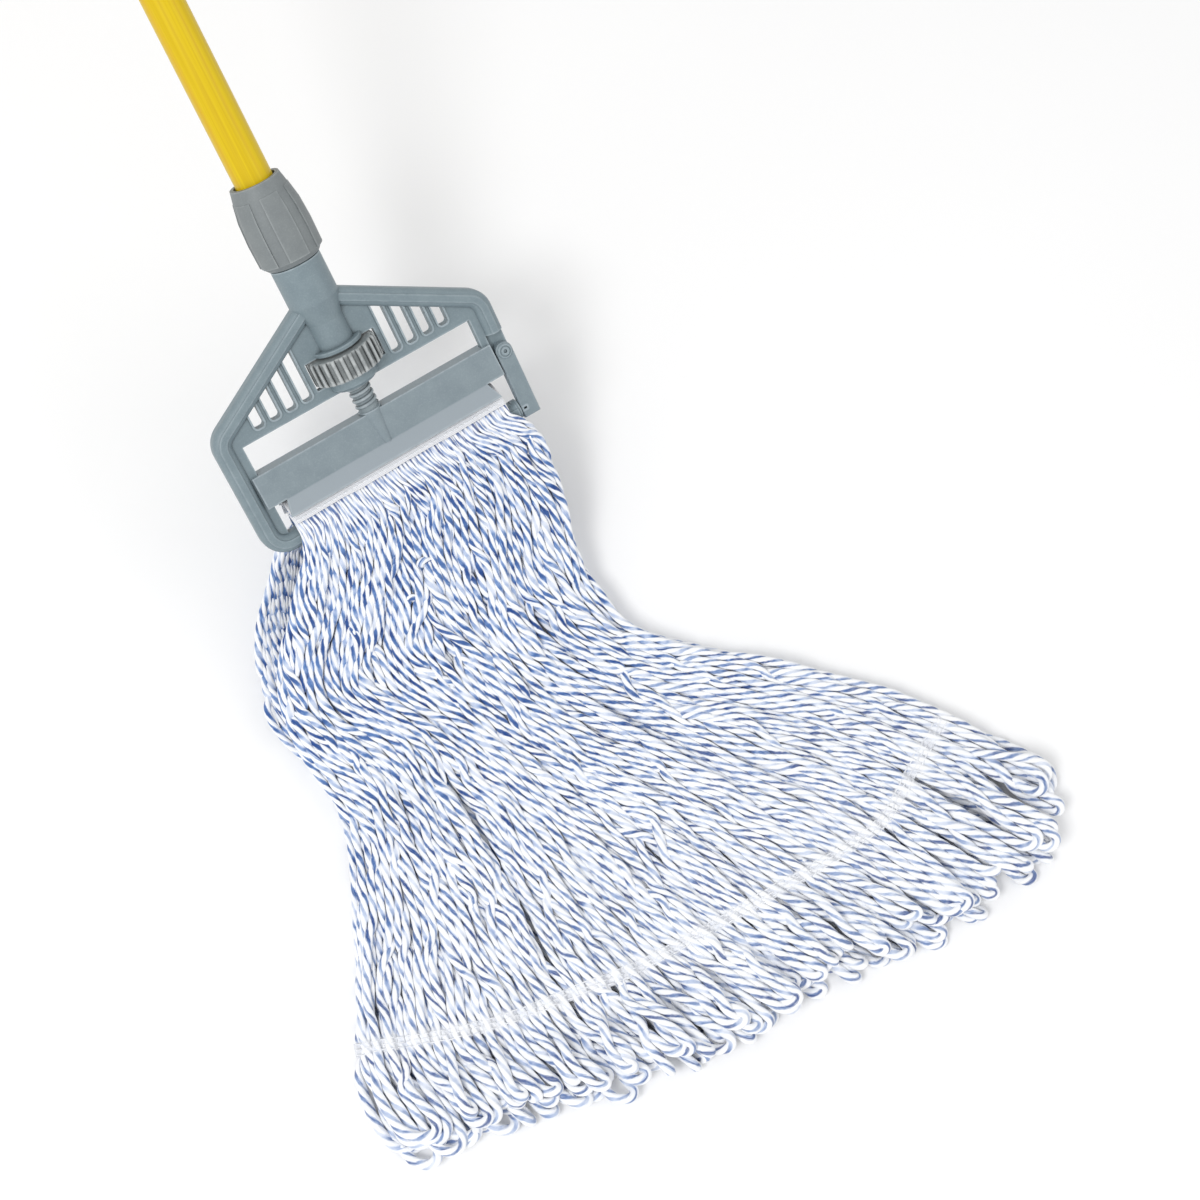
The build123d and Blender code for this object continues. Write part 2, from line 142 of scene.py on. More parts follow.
def head_to_world(x, y, z):
    """Point of the tilted head in world millimetres."""
    s, c = math.sin(RAISE), math.cos(RAISE)
    return np.stack([x + 0 * y, y * s + z * c, BAR_HEIGHT - y * c + z * s + 0 * x], -1)


# -------------------------------- materials

# noise scales of the plastics, in features per metre
MOTTLE, SPECKLE, RUB, SWELL, GRAIN = 70.0, 900.0, 160.0, 120.0, 1500.0
SCUFF_PATH, SCUFF = 9.0, 900.0
PAINTED_SHADE_FALL = 0.48  # of ambient occlusion, from the first painted shade to full painted shade
LIP_FOLD = BAR_HEIGHT * MM * math.sin(RAISE) + 0.029  # of the jaw's face into its lip, up the handle
FOLD_BLUR = 0.0006
# noise scales along a yarn, in features per metre
WANDER, CHANGE, HAIRS, FIBRES, PATCHES = 95.0, 52.0, 240.0, 190.0, 22.0
THREAD_SHARPNESS = 3.0
WARP_STEP, WEFT_STEP = 0.0011, 0.0009
THREAD_TURNS = 900.0  # per metre
AO_SAMPLES = 6


def srgb(r, g, b):
    """Linear colour of an sRGB triple from 0 to 255."""
    def one(v):
        v = v / 255
        return v / 12.92 if v <= 0.04045 else ((v + 0.055) / 1.055) ** 2.4
    return (one(r), one(g), one(b))


class Look:
    """One node material: a Principled shader, with short calls for the nodes used here."""

    def __init__(self, name):
        self.mat = bpy.data.materials.new(name)
        self.mat.use_nodes = True
        self.mat.node_tree.nodes.clear()
        out = self.new("OutputMaterial")
        self.shader = self.new("BsdfPrincipled")
        self.feed(out.inputs["Surface"], self.shader.outputs["BSDF"])

    def new(self, kind, **settings):
        """New shader node with its settings."""
        node = self.mat.node_tree.nodes.new("ShaderNode" + kind)
        for key, item in settings.items():
            setattr(node, key, item)
        return node

    def feed(self, socket, item):
        """Gives an input an output to follow, or a number or a colour of its own."""
        if isinstance(item, bpy.types.NodeSocket):
            self.mat.node_tree.links.new(item, socket)
        elif socket.type == "RGBA":
            socket.default_value = (*item, 1.0)
        else:
            socket.default_value = item

    def set(self, **values):
        """Feeds inputs of the Principled shader, named with underscores for spaces."""
        for key, item in values.items():
            self.feed(self.shader.inputs[key.replace("_", " ")], item)

    def math(self, operation, *items, clamp=False):
        """Math node on sockets or numbers."""
        node = self.new("Math", operation=operation, use_clamp=clamp)
        for socket, item in zip(node.inputs, items):
            self.feed(socket, item)
        return node.outputs[0]

    def times(self, a, b, clamp=False):
        return self.math("MULTIPLY", a, b, clamp=clamp)

    def scale(self, source, factor, shift):
        """source x factor + shift."""
        return self.math("MULTIPLY_ADD", source, factor, shift)

    def ramp(self, source, low, high, to_low=0.0, to_high=1.0):
        """Smooth step of a value between two limits."""
        node = self.new("MapRange", interpolation_type="SMOOTHSTEP")
        names = ("Value", "From Min", "From Max", "To Min", "To Max")
        for name, item in zip(names, (source, low, high, to_low, to_high)):
            self.feed(node.inputs[name], item)
        return node.outputs["Result"]

    def mix(self, factor, a, b):
        """Mix of two colours, each a socket or an RGB triple."""
        node = self.new("Mix", data_type="RGBA")
        colour_a, colour_b = node.inputs[6], node.inputs[7]
        self.feed(node.inputs["Factor"], factor)
        self.feed(colour_a, a)
        self.feed(colour_b, b)
        return node.outputs[2]

    def noise(self, vector, scale, detail=2.0, roughness=0.5):
        node = self.new("TexNoise")
        names = ("Vector", "Scale", "Detail", "Roughness")
        for name, item in zip(names, (vector, scale, detail, roughness)):
            self.feed(node.inputs[name], item)
        return node.outputs["Fac"]

    def combine(self, *items):
        """Vector of up to three sockets or numbers."""
        node = self.new("CombineXYZ")
        for socket, item in zip(node.inputs, items):
            self.feed(socket, item)
        return node.outputs[0]

    def split(self, vector):
        """The three parts of a vector."""
        node = self.new("SeparateXYZ")
        self.feed(node.inputs[0], vector)
        return node.outputs

    def uv(self, name):
        """The parts of a UV map."""
        return self.split(self.new("UVMap", uv_map=name).outputs[0])

    def place(self):
        """Position on the object in metres, the same at every pose."""
        return self.new("TexCoord").outputs["Object"]

    def stretched(self, vector, scale):
        node = self.new("Mapping")
        self.feed(node.inputs["Scale"], scale)
        self.feed(node.inputs["Vector"], vector)
        return node.outputs[0]

    def bump(self, height, distance, strength=1.0, under=None):
        """Bumps the surface by a height, on top of an earlier bump if one is given."""
        node = self.new("Bump")
        names = ("Strength", "Distance", "Height")
        for name, item in zip(names, (strength, distance, height)):
            self.feed(node.inputs[name], item)
        if under is not None:
            self.feed(node.inputs["Normal"], under)
        self.set(Normal=node.outputs["Normal"])
        return node.outputs["Normal"]

    def occlusion(self, distance, inside=False, only_local=True):
        """Ambient occlusion within a distance: of the hollows outside, or of the thin edges inside."""
        node = self.new("AmbientOcclusion", samples=AO_SAMPLES, inside=inside, only_local=only_local)
        self.feed(node.inputs["Distance"], distance)
        return node.outputs["AO"]


def plastic(name, colour, light, dark, rough, grain=1.0, shade_depth=0.75, lip=None,
            reach=0.0045, start=0.78, wear_and_highlight_width=0.0013):
    """Moulded plastic: fine grain, faint mottling, paler edges (partly rubbed, partly painted highlight),
    painted shade in the corners, and scuffs.

    lip: painted highlight, the paler colour below the jaw's fold, where the lip faces the light. reach,
    start and
    shade_depth: how far, from which occlusion and how strongly the painted shade spreads.
    wear_and_highlight_width: width of the paler edges, partly rubbed by use and partly painted highlight."""
    look = Look(name)
    place = look.place()
    mottle = look.noise(place, MOTTLE, 5.0, 0.65)
    base = look.mix(look.ramp(mottle, 0.2, 0.8), dark, colour)
    speckle = look.noise(place, SPECKLE, 2.0, 0.7)
    base = look.mix(look.ramp(speckle, 0.45, 0.8, 0.0, 0.2), base, light)
    # painted highlight: below the jaw's fold, where the lip faces the light, the colour turns paler
    if lip is not None:
        fold = look.new("VectorMath", operation="DOT_PRODUCT")
        look.feed(fold.inputs[0], place)
        look.feed(fold.inputs[1], (0.0, math.cos(RAISE), math.sin(RAISE)))
        below = look.ramp(fold.outputs["Value"], LIP_FOLD + FOLD_BLUR, LIP_FOLD - FOLD_BLUR, 0.0, 0.8)
        base = look.mix(below, base, lip)
    # paler edges and ridge tops: partly rubbed by use, partly painted highlight
    rub = look.ramp(look.noise(place, RUB, 3.0), 0.3, 0.6, 0.35, 1.0)
    worn_and_highlit = look.times(look.ramp(look.occlusion(wear_and_highlight_width, inside=True), 0.93, 0.72), rub)
    base = look.mix(look.times(worn_and_highlit, 0.75), base, light)
    # painted shade: the colour darkens in corners and hollows, from ambient occlusion
    painted_shade = look.ramp(look.occlusion(reach), start, start - PAINTED_SHADE_FALL, 0.0, shade_depth)
    base = look.mix(painted_shade, base, tuple(0.3 * v for v in dark))
    scratch = look.noise(look.combine(look.noise(place, SCUFF_PATH), 0.0, 0.0), SCUFF, 1.0)
    dull = look.math("ADD", look.times(mottle, 0.22), rough - 0.11)
    dull = look.math("ADD", dull, look.times(look.ramp(scratch, 0.62, 0.68), 0.12))
    look.set(Base_Color=base, Roughness=dull, Specular_IOR_Level=0.45)
    fine = look.bump(look.noise(place, GRAIN, 2.0, 0.6), 0.00006 * grain, 0.6)
    look.bump(look.noise(place, SWELL, 2.0), 0.0004, 0.25, fine)
    return look.mat


def fibreglass():
    """Yellow resin tube: glossy skin over long glass fibres, with faint orange streaks along it."""
    look = Look("yellow_fibreglass")
    place = look.place()
    turn = look.new("VectorRotate", rotation_type="X_AXIS")
    look.feed(turn.inputs["Angle"], math.pi / 2 - RAISE)
    look.feed(turn.inputs["Vector"], place)
    upright = turn.outputs[0]
    fibres = look.noise(look.stretched(upright, (420.0, 420.0, 5.0)), 1.0, 4.0, 0.65)
    streaks = look.noise(look.stretched(upright, (110.0, 110.0, 1.6)), 1.0, 3.0, 0.55)
    base = look.mix(look.ramp(fibres, 0.25, 0.75), srgb(202, 168, 2), srgb(221, 192, 8))
    base = look.mix(look.ramp(streaks, 0.5, 0.78, 0.0, 0.65), base, srgb(206, 154, 6))
    scuffs = look.ramp(look.noise(place, 60.0, 6.0, 0.7), 0.66, 0.8, 0.0, 0.35)
    base = look.mix(scuffs, base, srgb(222, 204, 84))
    look.set(Base_Color=base, Roughness=look.ramp(fibres, 0.2, 0.8, 0.28, 0.44))
    look.set(Specular_IOR_Level=0.3, Coat_Weight=0.06, Coat_Roughness=0.2)
    look.bump(fibres, 0.00012, 0.5)
    return look.mat


def cotton_yarn():
    """Twisted three-ply yarn. UV.u is the yarn's number plus the turn round it, UV.v the metres along it."""
    look = Look("cotton_yarn")
    around, along, _ = look.uv("yarn")
    number = look.math("FLOOR", around)
    plies = look.times(look.math("FRACT", around), float(PLIES))
    off_middle = look.math("SUBTRACT", look.math("FRACT", plies), 0.5)
    groove = look.times(look.math("ABSOLUTE", off_middle), 2.0)
    sewn = look.new("Attribute", attribute_name="sewn").outputs["Fac"]
    thin = look.ramp(look.split(look.place())[1], -0.02, -0.36)

    # the coloured threads run in the grooves, here strong, there faint, and thinner towards the tail
    nearest = look.math("ADD", number, look.times(look.math("ROUND", plies), 0.37))
    wander = look.noise(look.combine(look.times(along, WANDER), nearest), 1.0, 3.0)
    width = look.scale(wander, -0.9, look.scale(thin, 0.13, 0.79))
    hair_place = look.combine(look.times(plies, 8.0), look.times(along, HAIRS), number)
    hairs = look.noise(hair_place, 1.0, 3.0, 0.65)
    frayed = look.scale(hairs, 0.5, look.math("SUBTRACT", groove, 0.25))
    thread = look.times(look.math("SUBTRACT", frayed, width), THREAD_SHARPNESS, clamp=True)
    thread = look.times(thread, look.ramp(hairs, 0.3, 0.6, 0.75, 1.0))
    change = look.noise(look.combine(look.times(along, CHANGE), 7.0, nearest), 1.0, 2.5)
    level = look.ramp(change, 0.34, 0.56, 0.35, 1.25)
    level = look.times(level, look.scale(sewn, -0.8, 1.0))
    level = look.times(level, look.scale(thin, -0.25, 1.0))
    thread = look.times(thread, level, clamp=True)
    blue = look.mix(look.ramp(change, 0.4, 0.66), srgb(114, 151, 206), srgb(42, 76, 140))

    # the white plies, with a tint of each yarn's own
    fibre_place = look.combine(look.times(plies, 7.0), look.times(along, FIBRES), number)
    fibres = look.noise(fibre_place, 1.0, 3.0, 0.6)
    patch = look.noise(look.combine(look.times(along, PATCHES), number), 1.0, 2.0)
    chance = look.new("TexWhiteNoise", noise_dimensions="1D")
    look.feed(chance.inputs["W"], number)
    white = look.mix(look.ramp(patch, 0.3, 0.75), srgb(253, 253, 253), srgb(244, 246, 250))
    white = look.mix(look.ramp(fibres, 0.35, 0.75, 0.0, 0.25), white, srgb(232, 236, 244))
    white = look.mix(look.times(chance.outputs["Value"], 0.2), white, srgb(240, 244, 250))

    # painted shade deep between the yarns, from ambient occlusion, less by the sewn bands and towards the
    # tail
    deep_shade = look.ramp(look.occlusion(0.0034, only_local=False), 0.46, 0.10)
    deep_shade = look.times(deep_shade, look.scale(sewn, -0.9, 1.0), clamp=True)
    deep_shade = look.times(deep_shade, look.scale(thin, -0.65, 1.0))
    look.set(Base_Color=look.mix(deep_shade, look.mix(thread, white, blue), srgb(22, 30, 54)))
    look.set(Roughness=0.9, Sheen_Weight=0.25, Sheen_Roughness=0.5, Specular_IOR_Level=0.15)
    look.bump(fibres, 0.00045, 0.8)
    return look.mat


def woven(name, pale, shade, warp=1.0):
    """Plain woven tape. The UV is in metres: u along the tape, v across it."""
    look = Look(name)
    along, across, _ = look.uv("tape")
    u = look.times(along, math.pi / WARP_STEP * warp)
    v = look.times(across, math.pi / WEFT_STEP)
    over = look.times(look.math("SINE", u), look.math("SINE", v))
    ribs = look.times(look.math("ABSOLUTE", look.math("COSINE", u)), 0.35)
    weave = look.math("ADD", look.math("ABSOLUTE", over), ribs)
    fuzz = look.noise(look.place(), 1400.0, 3.0, 0.7)
    stain = look.noise(look.place(), 45.0, 3.0)
    base = look.mix(look.ramp(weave, 0.1, 0.9), shade, pale)
    base = look.mix(look.ramp(stain, 0.5, 0.8, 0.0, 0.3), base, tuple(0.9 * x for x in shade))
    look.set(Base_Color=base, Roughness=0.88, Sheen_Weight=0.2)
    look.bump(look.scale(fuzz, 0.4, weave), 0.0003, 0.8)
    return look.mat


def sewing_thread():
    """Sewing thread with its own fine twist."""
    look = Look("sewing_thread")
    around, along, _ = look.uv("yarn")
    phase = look.scale(along, THREAD_TURNS * math.tau, look.times(around, 2 * math.tau))
    twist = look.scale(look.math("SINE", phase), 0.5, 0.5)
    look.set(Base_Color=look.mix(twist, srgb(222, 226, 234), srgb(252, 252, 252)))
    look.set(Roughness=0.7, Sheen_Weight=0.2)
    look.bump(twist, 0.0001, 0.6)
    return look.mat


def floor_white():
    look = Look("floor_white")
    faint = look.noise(look.place(), 3.0)
    look.set(Base_Color=look.mix(faint, (0.93, 0.93, 0.93), (0.95, 0.95, 0.95)), Roughness=0.85)
    return look.mat


# -------------------------------- curves and noise


def curve(rows, at):
    """Smooth curve through table rows (parameter, values...) at the given parameters."""
    rows = np.array(rows, float)
    t, v = rows[:, 0], rows[:, 1:]
    slope = np.zeros_like(v)
    step = np.diff(v, axis=0) / np.diff(t)[:, None]
    before, after = step[:-1], step[1:]
    tight = np.where(before * after > 0, 2 * before * after / (before + after + 1e-12), 0.0)
    slope[1:-1] = 0.5 * tight + 0.5 * (before + after) / 2
    slope[0], slope[-1] = step[0], step[-1]
    at = np.clip(np.asarray(at, float), t[0], t[-1])
    k = np.clip(np.searchsorted(t, at, side="right") - 1, 0, len(t) - 2)
    w = (t[k + 1] - t[k])
    x = ((at - t[k]) / w)[..., None]
    w = w[..., None]
    return (
        v[k] * (2 * x**3 - 3 * x**2 + 1)
        + slope[k] * w * (x**3 - 2 * x**2 + x)
        + v[k + 1] * (-2 * x**3 + 3 * x**2)
        + slope[k + 1] * w * (x**3 - x**2)
    )


def ease(x):
    """Smooth step from 0 to 1."""
    x = np.clip(x, 0, 1)
    return x * x * (3 - 2 * x)


def hump(x, at, size):
    """Bell curve of height 1."""
    return np.exp(-(((x - at) / size) ** 2))


def bell(scale, reach=None):
    """Gaussian weights on samples, `scale` samples wide."""
    reach = int(3 * scale) if reach is None else reach
    return np.exp(-0.5 * (np.arange(-reach, reach + 1) / scale) ** 2)


def smooth_noise(rng, count, length, scale):
    """Rows of smooth noise of about unit size, with features `scale` samples long."""
    raw = rng.standard_normal((count, length + 8 * int(scale)))
    kernel = bell(scale)
    kernel /= np.sqrt((kernel**2).sum())
    out = np.array([np.convolve(row, kernel, "same") for row in raw])
    edge = 4 * int(scale)
    return out[:, edge:edge + length]


def soften(rows, scale, reach=None):
    """Gaussian smoothing down the rows, ends kept."""
    kernel = bell(scale, reach)
    kernel /= kernel.sum()
    edge = len(kernel) // 2
    padded = np.pad(rows, ((edge, edge), (0, 0)), "edge")
    return np.array([np.convolve(column, kernel, "valid") for column in padded.T]).T


def arc_length(path):
    """Length along a path up to each of its points."""
    return np.concatenate([[0], np.cumsum(np.linalg.norm(np.diff(path, axis=0), axis=1))])


def along_path(vectors, length, at):
    """Points, or other vectors, at given lengths along a path."""
    return np.stack([np.interp(at, length, vectors[:, i]) for i in range(3)], 1)


# -------------------------------- yarn layout


class Drape:
    """One half of the mop as a surface. Stations run down the yarns, and shares from -1 to 1 across them."""

    def __init__(self, rows, bulge):
        self.share = np.linspace(0, 1, STATIONS)
        table = curve(rows, self.share)
        self.left = table[:, 0:2]
        self.right = table[:, 2:4]
        self.base = table[:, 4]
        self.bulge = curve(bulge, self.share)[:, 0]

    def point(self, u):
        """Surface points for shares u, shaped (stations, n)."""
        half = (u[..., None] + 1) / 2
        flat = self.left[:, None] * (1 - half) + self.right[:, None] * half
        across = self.right - self.left
        normal = np.stack([across[:, 1], -across[:, 0]], -1)
        normal /= np.linalg.norm(normal, axis=1)[:, None]
        late = np.clip((self.share - 0.8) / 0.2, 0, 1)[:, None]
        shape = (1 - u**2) * (1 - late) + curve(TAIL_SHAPE, u)[..., 0] * late
        flat = flat + normal[:, None] * (self.bulge[:, None] * shape)[..., None]
        base = np.repeat(self.base[:, None], u.shape[1], 1)
        return np.concatenate([flat, base[..., None]], -1)

    def width(self):
        """Length of each station's line."""
        u = np.linspace(-1, 1, 41)[None].repeat(STATIONS, 0)
        return np.linalg.norm(np.diff(self.point(u), axis=1), axis=2).sum(1)

    def lift(self, u, height):
        """World points at a height above the surface."""
        here = self.point(u)
        down = np.gradient(here, axis=0)
        side = self.point(np.clip(u + 0.02, -1.02, 1.02)) - self.point(np.clip(u - 0.02, -1.02, 1.02))
        up = np.cross(side, -down)
        up /= np.linalg.norm(up, axis=2)[..., None]
        return here + up * height[..., None]


def pack_strands(width, target, radius, level, rng, tall):
    """Stacks strands in each cross-section so that none cut into each other much.

    target: place wanted across. level: height wanted. tall: highest place at each station. The first two
    and radius are shaped (stations, strands). Returns places and heights."""
    close, push_share, place_pull, height_pull = 0.93, 0.42, 0.12, 0.10
    count = target.shape[1]
    x = target[0].copy()
    h = radius[0] * (1 + 2 * rng.random(count))
    xs, hs = np.zeros_like(target), np.zeros_like(target)
    for k in range(STATIONS):
        r = radius[k]
        reach = (r[:, None] + r[None]) * close
        edge = width[k] / 2
        x += target[k] - target[max(k - 1, 0)]
        for _ in range(120 if k == 0 else 22):
            x += place_pull * (target[k] - x)
            h += height_pull * (level[k] + r - h)
            dx = x[:, None] - x[None]
            dh = h[:, None] - h[None]
            dist = np.sqrt(dx**2 + dh**2) + 1e-6
            push = np.clip(reach - dist, 0, None)
            np.fill_diagonal(push, 0)
            x += push_share * (push * dx / dist).sum(1)
            h += push_share * (push * dh / dist).sum(1)
            h = np.maximum(h, r)
            over = np.abs(x) - (edge - r)
            x -= np.sign(x) * np.clip(over, 0, None) * 0.7
            h = np.minimum(h, tall[k])
        xs[k], hs[k] = x, h
    return xs, hs


def loop_ends(rng, loops, spread, tail_edge):
    """Where each loop's two strands end across the tail, half its width and how far it winds over."""
    centre = (np.arange(loops) + 0.5) / loops * 2 - 1
    centre += rng.uniform(-0.35, 0.35, loops) * 2 / loops
    half = rng.uniform(*spread, loops)
    hand = rng.choice([0.0, 1.0, -1.0], loops, p=[0.4, 0.36, 0.24])
    curl = hand * rng.uniform(0.7, 1.35, loops) * math.pi
    corner = centre < -0.84
    half[corner] = rng.uniform(8.0, 15.0, corner.sum())
    curl[corner] = 0.0
    middle = centre * (tail_edge - 9)
    pairs = np.stack([middle - half, middle + half], 1).ravel()
    return np.clip(pairs, -tail_edge + 3, tail_edge - 3), half, curl


def wind_over(share, half, curl):
    """Sideways shift and rise of each strand where its loop winds over itself near the tail."""
    end = ease((share - CURL_START) / (1 - CURL_START))[:, None]
    shrink = np.where(curl == 0, 1.0, 3.3 / half)
    wide = half * (1 + (shrink - 1) * end)
    sign = np.tile([-1.0, 1.0], len(half))
    sideways = np.repeat(wide * np.cos(curl * end) - half, 2, 1) * sign
    high = np.repeat(wide * np.sin(curl * end), 2, 1)
    return sideways, high * sign + np.abs(high)


def wandering(rng, share, order):
    """Sideways wander of each strand, partly its own and partly shared with its neighbours."""
    lane_count = 24
    own = smooth_noise(rng, len(order), STATIONS, 9).T
    rows = smooth_noise(rng, lane_count, STATIONS, 13).T
    lanes = np.linspace(0, lane_count - 1, len(order))[order]
    k = np.clip(lanes.astype(int), 0, lane_count - 2)
    f = lanes - k
    shared = rows[:, k] * (1 - f) + rows[:, k + 1] * f
    return 5.0 * own + 4.5 * shared * np.clip((0.75 - share) / 0.35, 0.15, 1)[:, None]


def stray_shift(rng, even, share, strays):
    """Sideways sweep of a few strands that cross their neighbours below the head, and folds round them."""
    shift = np.zeros((len(share), len(even)))
    middle = np.flatnonzero(np.abs(even) < 0.3)
    for pick in rng.choice(middle, strays, replace=False):
        at, size, reach = rng.uniform(0.17, 0.27), rng.uniform(0.03, 0.05), rng.uniform(-22, -8)
        shift[:, pick] += reach * hump(share, at, size)
    pull = -10.0 * (even + 0.12) * 4 * hump(even, -0.12, 0.16)
    bend = 9.0 * hump(share, 0.41, 0.06) - 8.0 * hump(share, 0.27, 0.06)
    return shift + hump(share, 0.20, 0.035)[:, None] * pull + bend[:, None] * hump(even, -0.55, 0.3)


def strand_paths(drape, loops, seed, levels, spread, strays, rim_lift):
    """Centre points of every strand, shaped (stations, strands, 3), and its radius at each station.

    Strands 2n and 2n + 1 make loop n. levels: layers of loops at the tail. spread: half width of a loop,
    least and most. strays: number of strands that cross their neighbours."""
    rng = np.random.default_rng(seed)
    share, width = drape.share, drape.width()
    count = 2 * loops
    tail_edge = width[-1] / 2
    pairs, half, curl = loop_ends(rng, loops, spread, tail_edge)
    order = np.argsort(np.argsort(pairs))
    even = (order + 0.5) / count * 2 - 1

    tail = ease((share - TAIL_START) / 0.2)[:, None]
    target = (width / 2 - 3)[:, None] * (even[None] * (1 - tail) + pairs[None] / (tail_edge - 3) * tail)
    sideways, rise = wind_over(share, half, curl)
    lean = np.repeat(rng.normal(0, 5.0, loops) + 3.0, 2)
    past_band = np.clip((share - BAND_SHARE) / (1 - BAND_SHARE), 0, 1)[:, None]
    target = target + sideways + lean * past_band ** 1.4
    calm = np.clip(share / 0.08, 0, 1) * np.clip((1.02 - share) / 0.25, 0.25, 1)
    calm = (calm * np.where(np.abs(share - BAND_SHARE) < 0.03, 0.7, 1.0))[:, None]
    target = target + calm * wandering(rng, share, order)
    if strays:
        target = target + stray_shift(rng, even, share, strays)

    grow = np.clip(share / 0.2, 0, 1)[:, None]
    size = YARN_RADIUS_HEAD + (YARN_RADIUS - YARN_RADIUS_HEAD) * grow * (2 - grow)
    size = size * (1 + 0.05 * rng.standard_normal(count))[None] * (1 + 0.2 * tail)
    rank = np.repeat((np.arange(loops) * 2 + (np.arange(loops) // levels)) % levels, 2)
    level = tail * rank[None] * LEVEL_STEP + rise
    bob = smooth_noise(rng, count, STATIONS, 9).T
    level = np.clip(level + 1.6 * bob * calm, 0, None)
    level = level + np.interp(share, *rim_lift)[:, None] * hump(even, -1, 0.22)[None]
    xs, hs = pack_strands(width, target, size, level, rng, np.interp(share, *ROOM))
    hs = hs * (1 - 0.16 * hump(share, BAND_SHARE, 0.012)[:, None])
    xs, hs = soften(xs, 1.6), soften(hs, 1.6)
    return drape.lift(xs / (width / 2)[:, None], hs), size


# -------------------------------- meshes


def loop_arc(a, b, da, db, reach, lift, count=15):
    """U-turn from a, heading da, to b, coming from direction db. It goes `reach` past them and lifts."""
    middle, across = (a + b) / 2, (b - a) / 2
    ahead = da + db
    ahead /= np.linalg.norm(ahead)
    angle = np.linspace(0, math.pi, count + 2)[1:-1]
    turn = middle - np.cos(angle)[:, None] * across + np.sin(angle)[:, None] ** 0.8 * ahead * reach
    turn[:, 2] += np.sin(angle) * lift
    return turn


def resample(path, radius):
    """Points along a path, closer together where it bends, with their radii and lengths along it."""
    fine_step, per_mm, per_bend = 0.7, 0.30, 2.2
    length = arc_length(path)
    fine = np.linspace(0, length[-1], int(length[-1] / fine_step) + 2)
    pts = along_path(path, length, fine)
    for _ in range(6):
        pts[1:-1] = pts[1:-1] * 0.5 + (pts[:-2] + pts[2:]) * 0.25
    step = np.diff(pts, axis=0)
    size = np.linalg.norm(step, axis=1)
    unit = step / size[:, None]
    turn = np.linalg.norm(np.diff(unit, axis=0), axis=1) / ((size[:-1] + size[1:]) / 2)
    bend = np.convolve(np.concatenate([[0], turn, [0]]), np.ones(5) / 5, "same")
    weight = np.concatenate([[0], np.cumsum(size * (per_mm + per_bend * (bend[:-1] + bend[1:]) / 2))])
    pick = np.linspace(0, weight[-1], int(weight[-1]) + 2)
    arc = np.concatenate([[0], np.cumsum(size)])
    place = np.interp(pick, weight, arc)
    radius = np.interp(place, arc, np.interp(fine, length, radius))
    return along_path(pts, arc, place), radius, place


def close_ends(path, radius, place):
    """Short rounded tips, so that a strand's ends are closed: first the tip, then its shoulder."""
    past, widths = np.array([0.55, 0.45]), np.array([0.02, 0.6])  # in radii
    steps = np.array([0.2, 0.1])
    first, last = path[0] - path[1], path[-1] - path[-2]
    first *= radius[0] / np.linalg.norm(first)
    last *= radius[-1] / np.linalg.norm(last)
    path = np.concatenate([path[0] + past[:, None] * first, path, path[-1] + past[::-1, None] * last])
    radius = np.concatenate([radius[0] * widths, radius, radius[-1] * widths[::-1]])
    place = np.concatenate([place[0] - steps, place, place[-1] + steps[::-1]])
    return path, radius, place


def ring_faces(rows, wide):
    """Quads between neighbouring closed rings of `wide` points."""
    i = np.arange(rows - 1)[:, None] * wide
    j = np.arange(wide)[None]
    after = (j + 1) % wide
    return np.stack([i + j, i + after, i + wide + after, i + wide + j], -1).reshape(-1, 4)


def tube(path, radius, place, profile, pitch, phase, number):
    """Twisted tube round a path: vertices, quads and per-corner UVs (number + turn, length in metres)."""
    whole_turn = 0.99998  # the last corner's turn stays below the next number
    n, sides = len(path), len(profile)
    tangent = np.gradient(path, axis=0)
    tangent /= np.linalg.norm(tangent, axis=1)[:, None]
    side = np.zeros((n, 3))
    start = np.cross(tangent[0], [0.0, 0.0, 1.0])
    if np.linalg.norm(start) < 1e-3:
        start = np.cross(tangent[0], [1.0, 0.0, 0.0])
    side[0] = start / np.linalg.norm(start)
    for k in range(1, n):
        s = side[k - 1] - tangent[k] * (side[k - 1] @ tangent[k])
        side[k] = s / np.linalg.norm(s)
    other = np.cross(tangent, side)
    spin = phase + (place / pitch * math.tau if pitch else 0 * place)
    angle = (np.arange(sides) / sides * math.tau)[None] + spin[:, None]
    out = np.cos(angle)[..., None] * side[:, None] + np.sin(angle)[..., None] * other[:, None]
    verts = path[:, None] + (radius[:, None] * profile[None])[..., None] * out
    turn = number + np.arange(sides + 1) / sides * whole_turn
    length = place * MM
    corners = [(turn[u:sides + u], length[v:n - 1 + v]) for u, v in ((0, 0), (1, 0), (1, 1), (0, 1))]
    uv = np.stack([np.stack(np.broadcast_arrays(u[None], v[:, None]), -1) for u, v in corners], 2)
    return verts.reshape(-1, 3), ring_faces(n, sides), uv.reshape(-1, 2)


def ply_profile():
    """Cross-section of the plies, with a groove between each two."""
    per_ply = RING_POINTS // PLIES
    j = np.arange(RING_POINTS) % per_ply
    return 0.76 + 0.26 * np.sin(math.pi * j / per_ply) ** 0.8


def sewn_mark(verts):
    """How far each vertex is inside the sewn zones, of the tail band and of the headband, from 0 to 1."""
    line = curve(BAND_LINE, np.linspace(0, 1, 60))
    flat = verts[:, :2]
    best = np.full(len(flat), 1e9)
    for a, b in zip(line[:-1], line[1:]):
        ab = b - a
        t = np.clip(((flat - a) @ ab) / (ab @ ab), 0, 1)
        best = np.minimum(best, np.linalg.norm(flat - a - t[:, None] * ab, axis=1))
    near_head = np.minimum((verts[:, 2] - 101.0) / 10.0, 0.35)
    return ease(np.maximum((7.5 - best) / 5.0, near_head))


